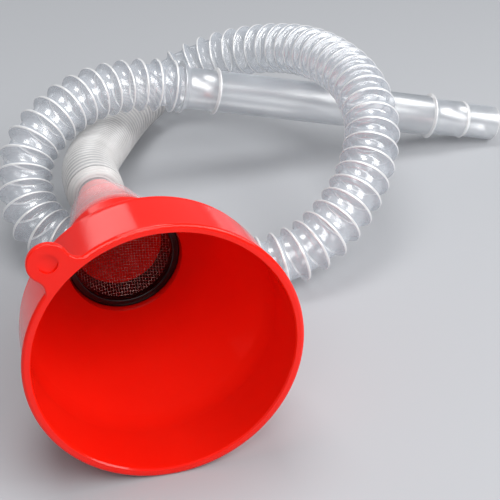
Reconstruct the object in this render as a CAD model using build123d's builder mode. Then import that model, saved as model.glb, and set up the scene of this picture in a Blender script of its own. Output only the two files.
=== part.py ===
"""Plastic filling funnel with a lift-out strainer and a long corrugated pouring hose, lying as it is left on a bench.

The funnel rests on the lowest point of its rim, its axis dipping towards the spout. The hose leaves the spout,
makes one loose loop that passes over and under itself and under the spout, and ends in a straight pour tube.
Units are millimetres. The origin is under the middle of the funnel, on the surface that it lies on.
"""

import math
import os

from build123d import *

# Funnel: radii, and depths measured along the axis from the plane of the mouth
MOUTH_RADIUS = 60.4
LIP_ROUNDING = 1.5
LIP_WIDTH = 3.4
WALL = 2.0
BAND_FRONT_RADIUS = 59.2
BAND_STEP_RADIUS = 57.4
BAND_STEP = 0.6
BAND_STEP_DEPTH = 33.0
BAND_BACK_DEPTH = 38.0
CONE_TOP_RADIUS = 55.3
SEAT_TOP_DEPTH = 93.4
SEAT_RADIUS = 29.3
LEDGE_DEPTH = 98.7
NECK_TOP_DEPTH = 101.9
NECK_TAPER = 0.246  # radius lost for each millimetre of depth
NECK_WALL = 1.6
SPOUT_RADIUS = 10.8
SPOUT_END_DEPTH = 166.0
SPOUT_ROUNDING = 0.5
AXIS_DIP = 5.3  # degrees

# Hanging tab on the rim: its middle is measured left and up from the middle of the mouth
TAB_CENTRE = (45.2, 50.4)
TAB_RADIUS = 8.9
TAB_THICKNESS = 2.8
TAB_BLEND_RADIUS = 6.0
TAB_ROUNDING = 0.8
TAB_RECESS_RADIUS = 4.1
TAB_RECESS_DEPTH = 1.2

# Strainer: a flanged ring that drops on the ledge, with a dished wire mesh moulded into its skirt
RING_RADIUS = 27.4
RING_BORE_RADIUS = 23.6
RING_THICKNESS = 2.6
RING_ROUNDING = 0.8
RING_GAP = 0.3
SKIRT_RADIUS = 25.0
SKIRT_BORE_RADIUS = 23.4
SKIRT_END_RADIUS = 22.5
SKIRT_END_WALL = 1.2
SKIRT_LENGTH = 11.5
MESH_SETBACK = 3.2
MESH_SAG = 7.0
MESH_THICKNESS = 0.6
MESH_GRIP = 0.6

# Hose: cuff depths are measured along the funnel's axis
CUFF_MOUTH_DEPTH = 111.1
CUFF_GAP = 0.35
CUFF_WALL = 1.0
CUFF_LIP = 0.5
CUFF_LIP_LENGTH = 2.2
CUFF_GROOVE_DEPTH = 125.0
CUFF_GROOVE = 0.35
CUFF_RIB_DEPTH = 143.0
CUFF_RIB = 0.5
CUFF_FLARE_DEPTH = 170.0
CUFF_END_DEPTH = 174.0
HOSE_RADIUS = 15.4
HOSE_WALL = 0.9
FIRST_RUN = 20.0
LAST_RUN = 16.0

# Middle of the hose between the cuff's first run and the pour tube, laid out by hand
HOSE_ROUTE = [
    (5, 139.5, 35.5),
    (12, 163.5, 28.5),
    (23, 191.5, 22),
    (36.5, 220.5, 18),
    (52.5, 244.5, 18),
    (74.5, 258.5, 25.5),
    (98.5, 256.5, 36.5),
    (119.5, 243, 46.5),
    (136.5, 222, 55.5),
    (148, 197, 63),
    (155, 170, 67),
    (159, 142, 68),
    (158.5, 117, 65),
    (155.5, 98, 58.5),
    (148.5, 82, 50.5),
    (138.5, 68, 41.5),
    (123.5, 55, 31.5),
    (106.5, 46, 22.5),
    (86.5, 42, 17),
    (63.5, 43.5, 15.5),
    (39.5, 53.5, 15.5),
    (18.5, 67.5, 15.5),
    (-2.5, 80, 15.5),
    (-21, 92.5, 16.5),
    (-32, 108.5, 23),
    (-34.5, 125.5, 34),
    (-29.5, 141.5, 47),
    (-14.5, 154.5, 57),
    (5.5, 167.5, 63),
    (27.5, 177.5, 62.8),
]

# Pour tube: lengths are measured along it from where the corrugated hose ends
POUR_START = (66, 181.5, 56)
POUR_END = (264, 171.5, 10.6)
TUBE_RADIUS = 12.1
TUBE_WALL = 1.2
SHOULDER_LENGTH = 4.5
NECKED_RADIUS = 10.9
NECKED_LENGTH = 162.5
TIP_RADIUS = 10.4
TIP_START = 183.0
TIP_ROUNDING = 0.9
BEADS = ((21.6, TUBE_RADIUS, 1.8), (159.0, TUBE_RADIUS, 1.8), (181.0, NECKED_RADIUS, 0.6))
BEAD_HALF_LENGTH = 1.7

dip = math.radians(AXIS_DIP)
lip_middle = MOUTH_RADIUS - LIP_ROUNDING
rim_height = LIP_ROUNDING * (1 + math.sin(dip)) + lip_middle * math.cos(dip)
front_reach = LIP_ROUNDING * (1 - math.cos(dip)) + lip_middle * math.sin(dip)
back_reach = SPOUT_END_DEPTH * math.cos(dip) + SPOUT_RADIUS * math.sin(dip)
mouth_centre = Vector(0, (front_reach - back_reach) / 2, rim_height)
inward = Vector(0, math.cos(dip), -math.sin(dip))
mouth = Plane(origin=mouth_centre, x_dir=(-1, 0, 0), z_dir=inward)  # X is left, Y is up
funnel_axis = Axis(mouth_centre, inward)

pour_start = Vector(*POUR_START)
pour_direction = (Vector(*POUR_END) - pour_start).normalized()
pour_length = (Vector(*POUR_END) - pour_start).length
pour_plane = Plane(origin=pour_start, x_dir=pour_direction.cross(Vector(0, 0, 1)), z_dir=pour_direction)


def section_of(plane):
    """Plane through the plane's normal, where X is the radius and Y the distance along the normal."""
    return Plane(origin=plane.origin, x_dir=plane.x_dir, z_dir=plane.x_dir.cross(plane.z_dir))


def neck_radius(depth, stand_off=0.0):
    """Radius at a depth of the tapered neck's outside, or of a cone that stands off from it."""
    return SPOUT_RADIUS + NECK_TAPER * (SPOUT_END_DEPTH - depth) + stand_off


def bead(at, radius, height):
    """Outline of one rounded bead round the pour tube."""
    return [
        (radius, at - BEAD_HALF_LENGTH),
        (radius + 0.8 * height, at - 0.5 * BEAD_HALF_LENGTH),
        (radius + height, at),
        (radius + 0.8 * height, at + 0.5 * BEAD_HALF_LENGTH),
        (radius, at + BEAD_HALF_LENGTH),
    ]


def mesh_depth(radius):
    """Depth of the dished mesh's front face at a radius, on a sphere that passes through its edge."""
    edge = SKIRT_BORE_RADIUS + MESH_GRIP
    sphere = (edge**2 + MESH_SAG**2) / (2 * MESH_SAG)
    edge_depth = LEDGE_DEPTH - RING_THICKNESS + MESH_SETBACK
    return edge_depth + math.sqrt(sphere**2 - radius**2) - (sphere - MESH_SAG)


def corner_radius(before, corner, after):
    """Radius of the arc at a corner of the hose: as large as its two runs allow."""
    run_in = corner - before
    run_out = after - corner
    half_turn = math.radians(run_in.get_angle(run_out)) / 2
    return 0.45 * min(run_in.length, run_out.length) / math.tan(half_turn)


def save(piece, name):
    """Labels a finished piece and writes its STEP file."""
    piece.part.label = name
    export_step(piece.part, f"parts/{name}.step")


os.makedirs("parts", exist_ok=True)

# Tab blank: a round lobe blended into a ring that lies inside the lip, with its edges rounded
tab_middle = Vector(*TAB_CENTRE)
tab_ring_radius = MOUTH_RADIUS - 0.9
with BuildPart() as tab_blank:
    with BuildSketch(mouth) as tab:
        Circle(tab_ring_radius)
        with Locations(TAB_CENTRE):
            Circle(TAB_RADIUS)
        crossings = tab.vertices().filter_by(
            lambda v: abs((Vector(v.X, v.Y) - tab_middle).length - TAB_RADIUS) < 0.01
            and abs(Vector(v.X, v.Y).length - tab_ring_radius) < 0.01
        )
        fillet(crossings, TAB_BLEND_RADIUS)
        Circle(tab_ring_radius - 1.2, mode=Mode.SUBTRACT)
    extrude(amount=TAB_THICKNESS)
    front = tab_blank.faces().filter_by(lambda f: abs(mouth.to_local_coords(f.center()).Z) < 0.01)
    back = tab_blank.faces().filter_by(
        lambda f: abs(mouth.to_local_coords(f.center()).Z - TAB_THICKNESS) < 0.01
    )
    fillet(front[0].outer_wire().edges() + back[0].outer_wire().edges(), TAB_ROUNDING)

# Funnel bowl, one moulding: lip, band, cone, strainer seat, tapered neck and hanging tab
band_inner = BAND_STEP_RADIUS - WALL
cone_inner = CONE_TOP_RADIUS - 1.15 * WALL
ring_seat = RING_RADIUS + RING_GAP
with BuildPart() as funnel_bowl:
    with BuildSketch(section_of(mouth)):
        with BuildLine():
            Line((MOUTH_RADIUS - LIP_WIDTH, 0), (lip_middle, 0))
            ThreePointArc((lip_middle, 0), (MOUTH_RADIUS, LIP_ROUNDING), (lip_middle, 2 * LIP_ROUNDING))
            Polyline(
                (lip_middle, 2 * LIP_ROUNDING),
                (BAND_FRONT_RADIUS, 2 * LIP_ROUNDING),
                (BAND_STEP_RADIUS, BAND_STEP_DEPTH),
                (BAND_STEP_RADIUS - BAND_STEP, BAND_STEP_DEPTH + 0.4),
                (BAND_STEP_RADIUS - BAND_STEP, BAND_BACK_DEPTH - 1.4),
            )
            ThreePointArc(
                (BAND_STEP_RADIUS - BAND_STEP, BAND_BACK_DEPTH - 1.4),
                (CONE_TOP_RADIUS + 1.0, BAND_BACK_DEPTH - 0.4),
                (CONE_TOP_RADIUS, BAND_BACK_DEPTH),
            )
            Polyline(
                (CONE_TOP_RADIUS, BAND_BACK_DEPTH),
                (SEAT_RADIUS, SEAT_TOP_DEPTH),
                (SEAT_RADIUS, NECK_TOP_DEPTH - 2.4),
                (SEAT_RADIUS - 0.6, NECK_TOP_DEPTH - 1.3),
                (neck_radius(NECK_TOP_DEPTH, 0.9), NECK_TOP_DEPTH - 0.2),
                (neck_radius(NECK_TOP_DEPTH + 1.0), NECK_TOP_DEPTH + 1.0),
                (neck_radius(SPOUT_END_DEPTH - SPOUT_ROUNDING), SPOUT_END_DEPTH - SPOUT_ROUNDING),
                (neck_radius(SPOUT_END_DEPTH, -SPOUT_ROUNDING), SPOUT_END_DEPTH),
                (neck_radius(SPOUT_END_DEPTH, -NECK_WALL), SPOUT_END_DEPTH),
                (neck_radius(LEDGE_DEPTH, -NECK_WALL), LEDGE_DEPTH),
                (ring_seat, LEDGE_DEPTH),
                (ring_seat, SEAT_TOP_DEPTH - 0.8),
                (cone_inner, BAND_BACK_DEPTH + 1.0),
            )
            Spline(
                (cone_inner, BAND_BACK_DEPTH + 1.0),
                (band_inner, BAND_STEP_DEPTH - 4.0),
                tangents=(
                    (cone_inner - ring_seat, BAND_BACK_DEPTH - SEAT_TOP_DEPTH),
                    (BAND_FRONT_RADIUS - BAND_STEP_RADIUS, LIP_ROUNDING - BAND_STEP_DEPTH),
                ),
            )
            Polyline(
                (band_inner, BAND_STEP_DEPTH - 4.0),
                (MOUTH_RADIUS - LIP_WIDTH - 0.5, 0.8),
                (MOUTH_RADIUS - LIP_WIDTH, 0),
            )
        make_face()
    revolve(axis=funnel_axis)

    add(tab_blank.part)
    with BuildSketch(mouth):
        with Locations(TAB_CENTRE):
            Circle(TAB_RECESS_RADIUS)
    extrude(amount=TAB_RECESS_DEPTH, mode=Mode.SUBTRACT)
save(funnel_bowl, "funnel_bowl")

# Strainer ring: a rounded flange with a tapered skirt that hangs in the neck
ring_front = LEDGE_DEPTH - RING_THICKNESS
with BuildPart() as strainer_ring:
    with BuildSketch(section_of(mouth)) as ring_section:
        with BuildLine():
            Polyline(
                (RING_BORE_RADIUS, ring_front),
                (RING_RADIUS, ring_front),
                (RING_RADIUS, LEDGE_DEPTH),
                (SKIRT_RADIUS, LEDGE_DEPTH),
                (SKIRT_END_RADIUS, LEDGE_DEPTH + SKIRT_LENGTH),
                (SKIRT_END_RADIUS - SKIRT_END_WALL, LEDGE_DEPTH + SKIRT_LENGTH),
                (SKIRT_BORE_RADIUS, ring_front + MESH_SETBACK - 0.6),
                close=True,
            )
        make_face()
        front_corners = ring_section.vertices().sort_by(Axis.Y)[:2]
        fillet(front_corners, RING_ROUNDING)
    revolve(axis=funnel_axis)
save(strainer_ring, "strainer_ring")

# Strainer mesh: the space of the woven wire, a thin dish that sags towards the spout
mesh_edge = SKIRT_BORE_RADIUS + MESH_GRIP
with BuildPart() as strainer_mesh:
    with BuildSketch(section_of(mouth)):
        with BuildLine():
            ThreePointArc(
                (0, mesh_depth(0)),
                (mesh_edge / 2, mesh_depth(mesh_edge / 2)),
                (mesh_edge, mesh_depth(mesh_edge)),
            )
            Line((mesh_edge, mesh_depth(mesh_edge)), (mesh_edge, mesh_depth(mesh_edge) + MESH_THICKNESS))
            ThreePointArc(
                (mesh_edge, mesh_depth(mesh_edge) + MESH_THICKNESS),
                (mesh_edge / 2, mesh_depth(mesh_edge / 2) + MESH_THICKNESS),
                (0, mesh_depth(0) + MESH_THICKNESS),
            )
            Line((0, mesh_depth(0) + MESH_THICKNESS), (0, mesh_depth(0)))
        make_face()
    revolve(axis=funnel_axis)
save(strainer_mesh, "strainer_mesh")

# Hose cuff: a long taper over the funnel's neck, with a lip, a groove and a rib, opening to the first fold
hose_bore = HOSE_RADIUS - HOSE_WALL
cuff_skin = CUFF_GAP + CUFF_WALL
lip_end = CUFF_MOUTH_DEPTH + CUFF_LIP_LENGTH
with BuildPart() as hose_cuff:
    with BuildSketch(section_of(mouth)):
        with BuildLine():
            Polyline(
                (neck_radius(CUFF_MOUTH_DEPTH, CUFF_GAP), CUFF_MOUTH_DEPTH),
                (neck_radius(CUFF_MOUTH_DEPTH, cuff_skin), CUFF_MOUTH_DEPTH),
                (neck_radius(CUFF_MOUTH_DEPTH + 0.5, cuff_skin + CUFF_LIP), CUFF_MOUTH_DEPTH + 0.5),
                (neck_radius(lip_end - 0.5, cuff_skin + CUFF_LIP), lip_end - 0.5),
                (neck_radius(lip_end, cuff_skin), lip_end),
                (neck_radius(CUFF_GROOVE_DEPTH - 0.9, cuff_skin), CUFF_GROOVE_DEPTH - 0.9),
                (neck_radius(CUFF_GROOVE_DEPTH, cuff_skin - CUFF_GROOVE), CUFF_GROOVE_DEPTH),
                (neck_radius(CUFF_GROOVE_DEPTH + 0.9, cuff_skin), CUFF_GROOVE_DEPTH + 0.9),
                (neck_radius(CUFF_RIB_DEPTH - 1.1, cuff_skin), CUFF_RIB_DEPTH - 1.1),
                (neck_radius(CUFF_RIB_DEPTH, cuff_skin + CUFF_RIB), CUFF_RIB_DEPTH),
                (neck_radius(CUFF_RIB_DEPTH + 1.1, cuff_skin), CUFF_RIB_DEPTH + 1.1),
                (neck_radius(CUFF_FLARE_DEPTH, cuff_skin), CUFF_FLARE_DEPTH),
                (HOSE_RADIUS, CUFF_END_DEPTH - 0.8),
                (HOSE_RADIUS, CUFF_END_DEPTH),
                (hose_bore, CUFF_END_DEPTH),
                (neck_radius(CUFF_FLARE_DEPTH + 0.4, CUFF_GAP), CUFF_FLARE_DEPTH + 0.4),
                close=True,
            )
        make_face()
    revolve(axis=funnel_axis)
save(hose_cuff, "hose_cuff")

# Corrugated hose, as a plain tube of its outer diameter: straight runs joined by tangent arcs
hose_start = mouth_centre + inward * CUFF_END_DEPTH
route = [
    hose_start,
    hose_start + inward * FIRST_RUN,
    *(Vector(*p) for p in HOSE_ROUTE),
    pour_start - pour_direction * LAST_RUN,
    pour_start,
]
radii = [corner_radius(*route[i - 1 : i + 2]) for i in range(1, len(route) - 1)]
runs = [(b - a).length for a, b in zip(route, route[1:])]
with BuildPart() as hose_bellows:
    with BuildLine() as hose_path:
        FilletPolyline(*route, radius=radii)
    with BuildSketch(Plane(origin=hose_start, x_dir=mouth.x_dir, z_dir=inward)):
        Circle(HOSE_RADIUS)
        Circle(hose_bore, mode=Mode.SUBTRACT)
    sweep(path=hose_path.wire())
save(hose_bellows, "hose_bellows")

# Pour tube: a shoulder at the hose, a long plain barrel with a bead near each end, then a narrower tip
with BuildPart() as pour_tube:
    with BuildSketch(section_of(pour_plane)):
        with BuildLine():
            Polyline(
                (hose_bore, 0),
                (HOSE_RADIUS, 0),
                (HOSE_RADIUS, 0.8),
                (TUBE_RADIUS, SHOULDER_LENGTH),
                *bead(*BEADS[0]),
                *bead(*BEADS[1]),
                (NECKED_RADIUS, NECKED_LENGTH),
                *bead(*BEADS[2])[:-1],
                (TIP_RADIUS, TIP_START),
                (TIP_RADIUS, pour_length - TIP_ROUNDING),
            )
            ThreePointArc(
                (TIP_RADIUS, pour_length - TIP_ROUNDING),
                (TIP_RADIUS - 0.3 * TIP_ROUNDING, pour_length - 0.3 * TIP_ROUNDING),
                (TIP_RADIUS - TIP_ROUNDING, pour_length),
            )
            Polyline(
                (TIP_RADIUS - TIP_ROUNDING, pour_length),
                (TIP_RADIUS - TUBE_WALL, pour_length),
                (TIP_RADIUS - TUBE_WALL, TIP_START),
                (NECKED_RADIUS - TUBE_WALL, TIP_START - 2.0),
                (NECKED_RADIUS - TUBE_WALL, NECKED_LENGTH),
                (TUBE_RADIUS - TUBE_WALL, NECKED_LENGTH - 2.5),
                (TUBE_RADIUS - TUBE_WALL, SHOULDER_LENGTH),
                (hose_bore, 0),
            )
        make_face()
    revolve(axis=Axis(pour_start, pour_direction))
save(pour_tube, "pour_tube")

path_length = hose_path.wire().length
section_area = math.pi * (HOSE_RADIUS**2 - hose_bore**2)
print("mouth centre", mouth_centre, "hose start", hose_start)
print("hose runs", [round(r, 1) for r in runs])
print("hose radii", [round(r) for r in radii])
print("hose length", round(path_length, 1), "with tube and cuff",
      round(path_length + pour_length + CUFF_END_DEPTH - CUFF_MOUTH_DEPTH, 1))
print("hose volume", round(hose_bellows.part.volume), "section times length", round(section_area * path_length))
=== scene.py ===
"""Looks of the filling funnel: red funnel, black strainer ring with woven wire, clear corrugated hose.

Everything is in metres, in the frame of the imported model, unless a comment says millimetres.
"""

import math

import bpy
import numpy as np
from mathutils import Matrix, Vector


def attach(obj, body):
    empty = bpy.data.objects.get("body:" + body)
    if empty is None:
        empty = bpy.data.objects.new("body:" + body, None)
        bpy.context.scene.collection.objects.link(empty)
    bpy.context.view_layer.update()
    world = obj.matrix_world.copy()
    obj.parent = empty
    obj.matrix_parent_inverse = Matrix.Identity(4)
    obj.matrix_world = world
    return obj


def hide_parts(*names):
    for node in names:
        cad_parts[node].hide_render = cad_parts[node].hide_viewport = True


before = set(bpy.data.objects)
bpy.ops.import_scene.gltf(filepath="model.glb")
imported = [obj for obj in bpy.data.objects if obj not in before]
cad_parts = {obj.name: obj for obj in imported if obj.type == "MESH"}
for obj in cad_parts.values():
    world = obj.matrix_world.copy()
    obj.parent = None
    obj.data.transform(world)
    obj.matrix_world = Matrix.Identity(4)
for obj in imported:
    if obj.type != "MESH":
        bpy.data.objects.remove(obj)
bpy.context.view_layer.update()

MM = 0.001

# The funnel's axis, as in the CAD model: the middle of its mouth, and its dip below level
MOUTH_CENTRE = Vector((0, -80.4204, 60.2867)) * MM
AXIS_DIP = math.radians(5.3)
INWARD = Vector((0, math.cos(AXIS_DIP), -math.sin(AXIS_DIP)))
RIGHT = Vector((1, 0, 0))
MOUTH_UP = RIGHT.cross(INWARD)

# The hose's line, as in the CAD model
CUFF_END_DEPTH = 174.0 * MM
FIRST_RUN = 20.0 * MM
LAST_RUN = 16.0 * MM
POUR_START = Vector((66, 181.5, 56)) * MM
POUR_END = Vector((264, 171.5, 10.6)) * MM
HOSE_ROUTE = [
    (0.005, 0.1395, 0.0355),
    (0.012, 0.1635, 0.0285),
    (0.023, 0.1915, 0.022),
    (0.0365, 0.2205, 0.018),
    (0.0525, 0.2445, 0.018),
    (0.0745, 0.2585, 0.0255),
    (0.0985, 0.2565, 0.0365),
    (0.1195, 0.243, 0.0465),
    (0.1365, 0.222, 0.0555),
    (0.148, 0.197, 0.063),
    (0.155, 0.17, 0.067),
    (0.159, 0.142, 0.068),
    (0.1585, 0.117, 0.065),
    (0.1555, 0.098, 0.0585),
    (0.1485, 0.082, 0.0505),
    (0.1385, 0.068, 0.0415),
    (0.1235, 0.055, 0.0315),
    (0.1065, 0.046, 0.0225),
    (0.0865, 0.042, 0.017),
    (0.0635, 0.0435, 0.0155),
    (0.0395, 0.0535, 0.0155),
    (0.0185, 0.0675, 0.0155),
    (-0.0025, 0.08, 0.0155),
    (-0.021, 0.0925, 0.0165),
    (-0.032, 0.1085, 0.023),
    (-0.0345, 0.1255, 0.034),
    (-0.0295, 0.1415, 0.047),
    (-0.0145, 0.1545, 0.057),
    (0.0055, 0.1675, 0.063),
    (0.0275, 0.1775, 0.0628),
]

# Folds of the hose: near the funnel they are pushed together, and beyond that they are pulled out
CLOSED_LENGTH = 172.0 * MM
CLOSED_PITCH = 3.8 * MM
CLOSED_LAST_PITCH = 5.2 * MM
OPEN_PITCH = 9.9 * MM
FIRST_FOLD = 0.8 * MM
PLAIN_END = 1.5 * MM
START_RADIUS = 15.2 * MM
END_RADII = (12.0 * MM, 12.1 * MM)
# Share of the closed stretch in which the folds are as close as they go; after it they slowly open
EVEN_SHARE = 0.2
# One fold each way, as (place from 0 to 1 along the fold, radius in millimetres, is its skin dense after
# it); dense skin takes the crest's painted glow where the folds are pulled out and the milky tone where they
# are pushed together, and the other skin of pushed-together folds takes painted groove shade
CLOSED_FOLD = [
    (0.00, 13.60, False),
    (0.14, 14.20, False),
    (0.28, 14.95, True),
    (0.42, 15.30, True),
    (0.58, 15.36, True),
    (0.72, 14.95, False),
    (0.86, 14.20, False),
]
OPEN_FOLD = [
    (0.00, 11.85, False),
    (0.20, 11.80, False),
    (0.37, 11.90, False),
    (0.45, 12.35, False),
    (0.51, 13.40, False),
    (0.56, 14.50, False),
    (0.60, 15.05, True),
    (0.64, 15.33, True),
    (0.68, 15.33, True),
    (0.72, 15.05, False),
    (0.77, 14.50, False),
    (0.82, 13.40, False),
    (0.88, 12.35, False),
    (0.95, 11.95, False),
]
HOSE_SIDES = 64

# Woven wire of the strainer: a dish that passes through the CAD mesh's edge and its lowest point
MESH_RADIUS = 23.7 * MM
MESH_EDGE_DEPTH = 99.4 * MM
MESH_SAG = 6.9 * MM
WIRE_PITCH = 1.35 * MM
WIRE_RADIUS = 0.07 * MM
WIRE_SIDES = 5
POINTS_PER_PITCH = 4
# Least gap between the outermost wire and the edge, in pitches
EDGE_GAP = 0.3


def mesh_piece(name, points, faces, smooth=True):
    """A new mesh object from points and faces, linked to the scene."""
    mesh = bpy.data.meshes.new(name)
    mesh.from_pydata([tuple(p) for p in points], [], faces)
    mesh.validate()
    mesh.update()
    mesh.polygons.foreach_set("use_smooth", [smooth] * len(mesh.polygons))
    piece = bpy.data.objects.new(name, mesh)
    bpy.context.scene.collection.objects.link(piece)
    return piece


def ring_faces(rings, sides, closed):
    """Quads between neighbouring rings of points, and between the last and the first if closed."""
    faces = []
    for i in range(rings if closed else rings - 1):
        a = i * sides
        b = (i + 1) % rings * sides
        for j in range(sides):
            k = (j + 1) % sides
            faces.append((a + j, a + k, b + k, b + j))
    return faces


# ---------------------------------------------------------------- camera

CAMERA_PLACE = Vector((-0.09179, -0.54058, 0.4049))
CAMERA_AIM = Vector((0.22692, 0.81713, -0.52992))
CAMERA_LENS = 100.0
CAMERA_SENSOR = 36.0


def add_camera():
    data = bpy.data.cameras.new("camera")
    data.sensor_width = CAMERA_SENSOR
    data.lens = CAMERA_LENS
    camera = bpy.data.objects.new("camera", data)
    camera.location = CAMERA_PLACE
    camera.rotation_mode = "QUATERNION"
    camera.rotation_quaternion = CAMERA_AIM.to_track_quat("-Z", "Y")
    bpy.context.scene.collection.objects.link(camera)
    bpy.context.scene.camera = camera


# ---------------------------------------------------------------- materials

# A darker and a paler tone for each material, the last five for the parts of the hose
RED = (0.86, 0.009, 0.003)
PALE_RED = (0.93, 0.014, 0.005)
BLACK = (0.0015, 0.0015, 0.002)
PALE_BLACK = (0.004, 0.0035, 0.004)
# The wire's red cast is a painted reflection of the red funnel around it, not the steel's own colour
STEEL_RED_REFLECTION = (0.50, 0.28, 0.26)
PALE_STEEL_RED_REFLECTION = (0.84, 0.60, 0.56)
CLEAR = (0.52, 0.56, 0.62)
PALE_CLEAR = (0.62, 0.66, 0.71)
MILK = (0.56, 0.55, 0.54)
PALE_MILK = (0.64, 0.63, 0.62)
# Crests and beads are near-white: a painted glow standing in for light carried along the wall where it is
# seen edge on
CREST_GLOW = (0.84, 0.84, 0.84)
PALE_CREST_GLOW = (0.92, 0.92, 0.92)
# The cuff is milky clear plastic; its pink is painted: the red neck's light showing through it
CUFF_RED_GLOW = (0.95, 0.80, 0.82)
PALE_CUFF_RED_GLOW = (0.98, 0.86, 0.88)
# Skin between the pushed-together folds is darker than their milky crests: painted shade in the grooves
GROOVE_SHADE = (0.40, 0.40, 0.41)
PALE_GROOVE_SHADE = (0.50, 0.50, 0.51)
# The part of a noise's range over which a tone goes from its darker to its paler end
TONE_FROM = 0.3
TONE_TO = 0.7
GRAIN_DEPTH = 0.00002
# How the hose's density rises from where its wall faces the eye to where it is seen edge on
FACING_BLEND = 0.35
FACING_POWER = 1.8


def new_material(name):
    """A material with a Principled shader: (material, node tree, shader)."""
    material = bpy.data.materials.new(name)
    material.use_nodes = True
    tree = material.node_tree
    return material, tree, tree.nodes["Principled BSDF"]


def noise(tree, scale, detail=3.0):
    """A noise texture in object coordinates."""
    place = tree.nodes.new("ShaderNodeTexCoord")
    texture = tree.nodes.new("ShaderNodeTexNoise")
    texture.inputs["Scale"].default_value = scale
    texture.inputs["Detail"].default_value = detail
    tree.links.new(place.outputs["Object"], texture.inputs["Vector"])
    return texture.outputs["Fac"]


def mottle(tree, value, dark, light):
    """A colour between a darker and a paler tone, by a value."""
    node = tree.nodes.new("ShaderNodeValToRGB")
    stops = ((TONE_FROM, dark), (TONE_TO, light))
    for element, (at, colour) in zip(node.color_ramp.elements, stops):
        element.position = at
        element.color = (*colour, 1.0)
    tree.links.new(value, node.inputs["Fac"])
    return node.outputs["Color"]


def spread(tree, value, low, high):
    """A value from 0 to 1, spread over a range."""
    node = tree.nodes.new("ShaderNodeMapRange")
    node.inputs["To Min"].default_value = low
    node.inputs["To Max"].default_value = high
    tree.links.new(value, node.inputs["Value"])
    return node.outputs["Result"]


def add_grain(tree, shader, height):
    bump = tree.nodes.new("ShaderNodeBump")
    bump.inputs["Distance"].default_value = GRAIN_DEPTH
    tree.links.new(height, bump.inputs["Height"])
    tree.links.new(bump.outputs["Normal"], shader.inputs["Normal"])


def red_plastic():
    material, tree, shader = new_material("red_plastic")
    tone = mottle(tree, noise(tree, 14.0), RED, PALE_RED)
    tree.links.new(tone, shader.inputs["Base Color"])
    tree.links.new(spread(tree, noise(tree, 60.0, 5.0), 0.09, 0.15), shader.inputs["Roughness"])
    shader.inputs["Subsurface Weight"].default_value = 0.2
    shader.inputs["Subsurface Radius"].default_value = (1.0, 0.08, 0.03)
    shader.inputs["Subsurface Scale"].default_value = 0.004
    shader.inputs["IOR"].default_value = 1.45
    shader.inputs["Specular IOR Level"].default_value = 0.4
    add_grain(tree, shader, noise(tree, 900.0, 2.0))
    return material


def black_plastic():
    material, tree, shader = new_material("black_plastic")
    tone = mottle(tree, noise(tree, 40.0), BLACK, PALE_BLACK)
    tree.links.new(tone, shader.inputs["Base Color"])
    tree.links.new(spread(tree, noise(tree, 160.0, 4.0), 0.10, 0.18), shader.inputs["Roughness"])
    shader.inputs["Specular IOR Level"].default_value = 0.35
    add_grain(tree, shader, noise(tree, 1400.0, 2.0))
    return material


def steel_wire_red_reflection():
    material, tree, shader = new_material("steel_wire_red_reflection")
    # Base colour reddened: painted reflection of the red funnel
    tone = mottle(tree, noise(tree, 300.0), STEEL_RED_REFLECTION, PALE_STEEL_RED_REFLECTION)
    tree.links.new(tone, shader.inputs["Base Color"])
    tree.links.new(spread(tree, noise(tree, 700.0), 0.18, 0.34), shader.inputs["Roughness"])
    shader.inputs["Metallic"].default_value = 1.0
    return material


def clear_plastic(name, middle, edge, dark, light, gloss=1.0, roughness=(0.17, 0.26)):
    """Milky see-through plastic: middle is its density seen straight through, edge along its wall."""
    material, tree, shader = new_material(name)
    tone = mottle(tree, noise(tree, 70.0, 4.0), dark, light)
    tree.links.new(tone, shader.inputs["Base Color"])
    tree.links.new(spread(tree, noise(tree, 60.0, 3.0), *roughness), shader.inputs["Roughness"])
    shader.inputs["IOR"].default_value = 1.5 + 0.7 * gloss
    shader.inputs["Specular IOR Level"].default_value = 0.5 + 0.5 * gloss
    facing = tree.nodes.new("ShaderNodeLayerWeight")
    facing.inputs["Blend"].default_value = FACING_BLEND
    curve = tree.nodes.new("ShaderNodeMath")
    curve.operation = "POWER"
    curve.inputs[1].default_value = FACING_POWER
    tree.links.new(facing.outputs["Facing"], curve.inputs[0])
    tree.links.new(spread(tree, curve.outputs[0], middle, edge), shader.inputs["Alpha"])
    return material


def use_material(piece, material):
    piece.data.materials.clear()
    piece.data.materials.append(material)


# ---------------------------------------------------------------- hose


def route_line(points):
    """Points along a smooth line that is drawn by the route's points, as a NURBS spline."""
    data = bpy.data.curves.new("hose_line", "CURVE")
    data.dimensions = "3D"
    data.resolution_u = 24
    spline = data.splines.new("NURBS")
    spline.points.add(len(points) - 1)
    for point, place in zip(spline.points, points):
        point.co = (*place, 1.0)
    spline.order_u = 3
    spline.use_endpoint_u = True
    line = bpy.data.objects.new("hose_line", data)
    mesh = bpy.data.meshes.new_from_object(line)
    places = np.array([v.co for v in mesh.vertices])
    bpy.data.objects.remove(line)
    bpy.data.curves.remove(data)
    bpy.data.meshes.remove(mesh)
    return places


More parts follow.
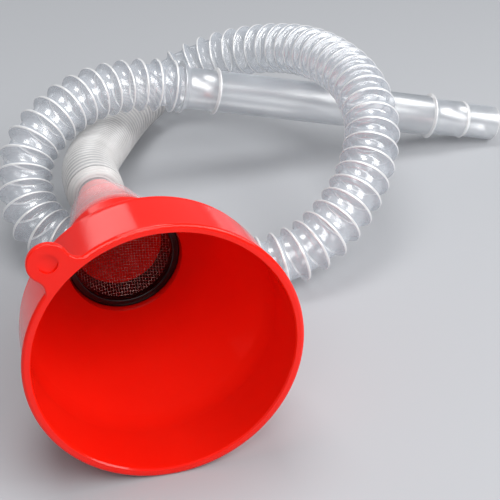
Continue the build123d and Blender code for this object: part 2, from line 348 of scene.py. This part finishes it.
class Line:
    """A line of close points with a frame at each that turns as little as it can along the way."""

    def __init__(self, places, side):
        self.places = places
        steps = np.linalg.norm(np.diff(places, axis=0), axis=1)
        self.at = np.concatenate([[0.0], np.cumsum(steps)])
        self.length = self.at[-1]
        along = np.gradient(places, self.at, axis=0)
        self.along = along / np.linalg.norm(along, axis=1)[:, None]
        sides = []
        for direction in self.along:
            side = side - direction * np.dot(side, direction)
            side = side / np.linalg.norm(side)
            sides.append(side)
        self.sides = np.array(sides)

    def frame(self, s):
        """Place, side and up at a distance along the line."""
        place = np.array([np.interp(s, self.at, self.places[:, k]) for k in range(3)])
        along = np.array([np.interp(s, self.at, self.along[:, k]) for k in range(3)])
        side = np.array([np.interp(s, self.at, self.sides[:, k]) for k in range(3)])
        along = along / np.linalg.norm(along)
        side = side - along * np.dot(side, along)
        side = side / np.linalg.norm(side)
        return place, side, np.cross(along, side)

    def ring(self, s, radius, sides):
        place, side, up = self.frame(s)
        turns = np.arange(sides) * 2 * math.pi / sides
        return place + radius * (np.outer(np.cos(turns), side) + np.outer(np.sin(turns), up))


def one_fold(start, pitch, shape):
    return [(start + u * pitch, radius * MM, dense) for u, radius, dense in shape]


def folds(length):
    """Outline of the hose's folds as (distance, radius, is dense), from the cuff to the pour tube."""
    outline = [(0.0, START_RADIUS, True)]
    at = FIRST_FOLD
    while at < CLOSED_LENGTH:
        opening = max(0.0, at / CLOSED_LENGTH - EVEN_SHARE) / (1.0 - EVEN_SHARE)
        pitch = CLOSED_PITCH + (CLOSED_LAST_PITCH - CLOSED_PITCH) * opening**2
        outline += one_fold(at, pitch, CLOSED_FOLD)
        at += pitch
    end = length - PLAIN_END
    count = round((end - at) / OPEN_PITCH)
    pitch = (end - at) / count
    for i in range(count):
        outline += one_fold(at + i * pitch, pitch, OPEN_FOLD)
    return outline + [(end, END_RADII[0], False), (length, END_RADII[1], False)]


def add_hose(wall, crest, closed_wall_painted_shade, closed_crest):
    start = MOUTH_CENTRE + INWARD * CUFF_END_DEPTH
    pour = (POUR_END - POUR_START).normalized()
    route = [
        start,
        start + INWARD * FIRST_RUN,
        *(Vector(p) for p in HOSE_ROUTE),
        POUR_START - pour * LAST_RUN,
        POUR_START,
    ]
    line = Line(route_line(route), np.array(RIGHT))
    outline = folds(line.length)
    rings = [line.ring(s, radius, HOSE_SIDES) for s, radius, _ in outline]
    faces = ring_faces(len(rings), HOSE_SIDES, False)
    hose = mesh_piece("corrugated_hose", np.concatenate(rings), faces)
    for material in (wall, crest, closed_wall_painted_shade, closed_crest):
        hose.data.materials.append(material)
    # Slots: wall, crest with painted glow, painted groove shade of the pushed-together stretch, milky crest
    # of that stretch
    slots = [int(dense) + (2 if s < CLOSED_LENGTH else 0) for s, _, dense in outline[:-1]]
    hose.data.polygons.foreach_set("material_index", np.repeat(slots, HOSE_SIDES))
    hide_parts("hose_bellows")
    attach(hose, "hose")


# ---------------------------------------------------------------- cuff

# The hose's cuff, over the funnel's tapered neck: depths are from the funnel's mouth, in millimetres
CUFF_MOUTH_DEPTH = 111.1
CUFF_TAPER = 0.246
CUFF_RADIUS_AT_END = 12.15
CUFF_TAPER_END = 166.0
CUFF_WALL = 1.0
CUFF_FLARE_DEPTH = 170.0
CUFF_INNER_DEPTHS = (CUFF_FLARE_DEPTH, 140.0, CUFF_MOUTH_DEPTH)
# Places on the taper where its skin stands proud or dips, as (depth, how far)
CUFF_STEPS = [
    (111.1, 0.0),
    (111.4, 0.35),
    (111.9, 0.5),
    (112.6, 0.5),
    (113.0, 0.35),
    (113.4, 0.0),
    (123.8, 0.0),
    (124.4, -0.2),
    (125.0, -0.35),
    (125.6, -0.2),
    (126.2, 0.0),
    (141.7, 0.0),
    (142.3, 0.3),
    (143.0, 0.5),
    (143.7, 0.3),
    (144.3, 0.0),
    (157.0, 0.0),
    (170.0, 0.0),
]
# The flare, as (depth, radius)
CUFF_FLARE = [
    (170.2, 11.6),
    (170.5, 12.7),
    (170.9, 13.1),
    (171.4, 12.9),
    (171.7, 13.6),
    (172.1, 14.2),
    (172.5, 14.1),
    (172.8, 14.6),
    (173.3, 15.2),
    (174.0, 14.9),
]
TURNED_SIDES = 96


def cuff_radius(depth):
    return CUFF_RADIUS_AT_END + CUFF_TAPER * (CUFF_TAPER_END - depth)


def revolved_piece(name, start, along, side, outline, materials):
    """A closed ring of revolution about a line: outline is (distance, radius, is dense) in millimetres."""
    turns = np.arange(TURNED_SIDES) * 2 * math.pi / TURNED_SIDES
    across = np.array(along.cross(side))
    circle = np.outer(np.cos(turns), side) + np.outer(np.sin(turns), across)
    rings = [np.array(start + along * at * MM) + radius * MM * circle for at, radius, _ in outline]
    piece = mesh_piece(name, np.concatenate(rings), ring_faces(len(rings), TURNED_SIDES, True))
    for material in materials:
        piece.data.materials.append(material)
    slots = [int(dense) for _, _, dense in outline]
    piece.data.polygons.foreach_set("material_index", np.repeat(slots, TURNED_SIDES))
    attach(piece, "hose")
    return piece


def add_cuff(clear, milky):
    taper = [(depth, cuff_radius(depth) + step) for depth, step in CUFF_STEPS]
    outer = taper + CUFF_FLARE
    inner = [(depth, radius - CUFF_WALL) for depth, radius in reversed(CUFF_FLARE)]
    inner += [(depth, cuff_radius(depth) - CUFF_WALL) for depth in CUFF_INNER_DEPTHS]
    outline = [(at, radius, at > CUFF_FLARE_DEPTH) for at, radius in outer + inner]
    cuff = revolved_piece("cuff", MOUTH_CENTRE, INWARD, RIGHT, outline, (clear, milky))
    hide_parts("hose_cuff")
    return cuff


# ---------------------------------------------------------------- pour tube

# The pour tube: places are from the end of the corrugated hose, in millimetres
TUBE_WALL = 1.2
MOUTH_BORE = 14.5
SHOULDER = [(0.0, 15.4), (0.8, 15.4), (1.6, 14.9), (2.6, 13.7), (3.6, 12.6), (4.5, 12.1)]
TUBE_RADIUS = 12.1
NECKED_RADIUS = 10.9
NECKED_LENGTH = 162.5
TIP_RADIUS = 10.4
TIP_START = 183.0
# Lengths over which the bore changes: at the tip's rim, at the tip's start and where the tube necks in
RIM_LENGTH = 1.5
STEP_LENGTH = 2.0
NECKING_LENGTH = 2.5
# A bead's outline, as shares of half its length and of its height
BEAD_SHAPE = [
    (-1.0, 0.0),
    (-0.75, 0.45),
    (-0.45, 0.82),
    (-0.15, 0.98),
    (0.15, 0.98),
    (0.45, 0.82),
    (0.75, 0.45),
    (1.0, 0.0),
]
# The tip's rounded rim, as (distance from its end, change of the radius)
TIP_RIM = [(-0.9, 0.0), (-0.5, -0.1), (-0.15, -0.4), (0.0, -0.9), (0.0, -TUBE_WALL)]
# Beads as (place, radius of the tube there, height, half of the length)
TUBE_BEADS = [(21.6, TUBE_RADIUS, 1.8, 1.1), (159.0, TUBE_RADIUS, 1.8, 1.1)]
TIP_BEAD = (181.0, NECKED_RADIUS, 0.6, 0.6)


def bead_outline(at, radius, height, half):
    return [(at + u * half, radius + v * height) for u, v in BEAD_SHAPE]


def with_tone(outline, is_dense):
    return [(at, radius, is_dense) for at, radius in outline]


def add_pour_tube(clear, dense):
    length = (POUR_END - POUR_START).length / MM
    direction = (POUR_END - POUR_START).normalized()
    side = direction.cross(Vector((0, 0, 1))).normalized()
    bore = TUBE_RADIUS - TUBE_WALL
    necked_bore = NECKED_RADIUS - TUBE_WALL
    tip_bore = TIP_RADIUS - TUBE_WALL
    outline = with_tone(SHOULDER, False)
    for bead in TUBE_BEADS:
        shape = bead_outline(*bead)
        outline += with_tone(shape[:-1], True) + with_tone(shape[-1:], False)
    outline += [(NECKED_LENGTH, NECKED_RADIUS, False)]
    outline += with_tone(bead_outline(*TIP_BEAD)[:-1], True) + [(TIP_START, TIP_RADIUS, False)]
    outline += [(length + back, TIP_RADIUS + drop, True) for back, drop in TIP_RIM]
    outline += [
        (length - RIM_LENGTH, tip_bore, False),
        (TIP_START, tip_bore, False),
        (TIP_START - STEP_LENGTH, necked_bore, False),
        (NECKED_LENGTH, necked_bore, False),
        (NECKED_LENGTH - NECKING_LENGTH, bore, False),
        (SHOULDER[-1][0], bore, False),
        (0.0, MOUTH_BORE, False),
    ]
    tube = revolved_piece("tube", POUR_START, direction, side, outline, (clear, dense))
    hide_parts("pour_tube")
    return tube


# ---------------------------------------------------------------- strainer mesh


def dish_depth(radius):
    """Depth of the wire cloth below the mouth at a radius, on a sphere."""
    sphere = (MESH_RADIUS**2 + MESH_SAG**2) / (2 * MESH_SAG)
    return MESH_EDGE_DEPTH + math.sqrt(sphere**2 - radius**2) - (sphere - MESH_SAG)


def wire_points(offset, number, crosswise):
    """Middle of one woven wire, which passes over and under the ones it crosses."""
    half = math.sqrt(MESH_RADIUS**2 - offset**2)
    count = max(2, round(POINTS_PER_PITCH * 2 * half / WIRE_PITCH))
    points = []
    for i in range(count + 1):
        t = -half + 2 * half * i / count
        wave = math.cos(math.pi * (t / WIRE_PITCH + number))
        lift = (-1 if crosswise else 1) * wave * WIRE_RADIUS
        depth = dish_depth(min(MESH_RADIUS, math.hypot(offset, t))) + lift
        x, y = (t, offset) if crosswise else (offset, t)
        points.append(MOUTH_CENTRE + RIGHT * x + MOUTH_UP * y + INWARD * depth)
    return np.array(points)


def add_strainer_mesh(material):
    points = []
    faces = []
    half_count = int(MESH_RADIUS / WIRE_PITCH - EDGE_GAP)
    for crosswise in (False, True):
        for number in range(-half_count, half_count + 1):
            line = Line(wire_points(number * WIRE_PITCH, number, crosswise), np.array(INWARD))
            rings = [line.ring(s, WIRE_RADIUS, WIRE_SIDES) for s in line.at]
            base = sum(len(p) for p in points)
            points += rings
            new_faces = ring_faces(len(rings), WIRE_SIDES, False)
            last = (len(rings) - 1) * WIRE_SIDES
            new_faces.append(tuple(reversed(range(WIRE_SIDES))))
            new_faces.append(tuple(last + k for k in range(WIRE_SIDES)))
            faces += [tuple(base + k for k in face) for face in new_faces]
    cloth = mesh_piece("woven_wire", np.concatenate(points), faces)
    use_material(cloth, material)
    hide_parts("strainer_mesh")
    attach(cloth, "strainer")


# ---------------------------------------------------------------- floor and light

FLOOR_SIZE = 8.0
LIGHT_AIM = Vector((0.06, 0.06, 0.04))
# Soft boxes as (name, place, width and height, power)
LIGHTS = [
    ("front", (0.25, -0.90, 1.00), (1.9, 0.7), 15.5),
    ("right", (1.05, -0.30, 0.88), (0.8, 0.7), 9.0),
    ("top", (0.0, 0.25, 1.3), (0.7, 0.5), 8.0),
    ("behind", (-0.16, 1.10, 0.38), (0.42, 0.15), 0.28),
]


def add_floor():
    half = FLOOR_SIZE / 2
    corners = [(-half, -half, 0), (half, -half, 0), (half, half, 0), (-half, half, 0)]
    floor = mesh_piece("floor", corners, [(0, 1, 2, 3)], smooth=False)
    material, _, shader = new_material("floor")
    shader.inputs["Base Color"].default_value = (0.42, 0.43, 0.45, 1.0)
    shader.inputs["Roughness"].default_value = 0.6
    use_material(floor, material)


def add_light(name, place, size, power):
    data = bpy.data.lights.new(name, "AREA")
    data.shape = "RECTANGLE"
    data.size, data.size_y = size
    data.energy = power
    light = bpy.data.objects.new(name, data)
    light.location = place
    light.rotation_mode = "QUATERNION"
    light.rotation_quaternion = (LIGHT_AIM - Vector(place)).to_track_quat("-Z", "Y")
    bpy.context.scene.collection.objects.link(light)


def add_lights():
    for light in LIGHTS:
        add_light(*light)
    world = bpy.data.worlds.new("studio")
    world.use_nodes = True
    background = world.node_tree.nodes["Background"]
    background.inputs["Color"].default_value = (0.92, 0.95, 1.0, 1.0)
    background.inputs["Strength"].default_value = 0.24
    bpy.context.scene.world = world
    bpy.context.scene.view_settings.view_transform = "Standard"


# ---------------------------------------------------------------- the whole object

add_camera()
milk = clear_plastic("milky_folds", 0.88, 0.98, MILK, PALE_MILK, gloss=0.0)
# Crests of the pulled-out folds, and the pour tube's beads and tip rim: painted glow, paler than the wall
crest = clear_plastic("clear_crest_painted_glow", 0.80, 0.98, CREST_GLOW, PALE_CREST_GLOW)
# Cuff: pink painted in for the red neck's light showing through
cuff_wall = clear_plastic("clear_cuff", 0.13, 0.42, CUFF_RED_GLOW, PALE_CUFF_RED_GLOW, gloss=0.2)
cuff = add_cuff(cuff_wall, milk)
tube_wall = clear_plastic("clear_tube", 0.36, 0.96, CLEAR, PALE_CLEAR, gloss=1.8, roughness=(0.26, 0.34))
# The tube's beads and tip rim take the crest material with its painted glow
tube = add_pour_tube(tube_wall, crest)
wall = clear_plastic("clear_wall", 0.36, 0.96, CLEAR, PALE_CLEAR)
# Pushed-together folds: the skin between their crests takes painted groove shade
painted_groove_shade = clear_plastic("fold_groove_painted_shade", 0.88, 0.98, GROOVE_SHADE, PALE_GROOVE_SHADE, gloss=0.0)
add_hose(wall, crest, painted_groove_shade, milk)
use_material(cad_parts["funnel_bowl"], red_plastic())
use_material(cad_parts["strainer_ring"], black_plastic())
add_strainer_mesh(steel_wire_red_reflection())
add_floor()
add_lights()
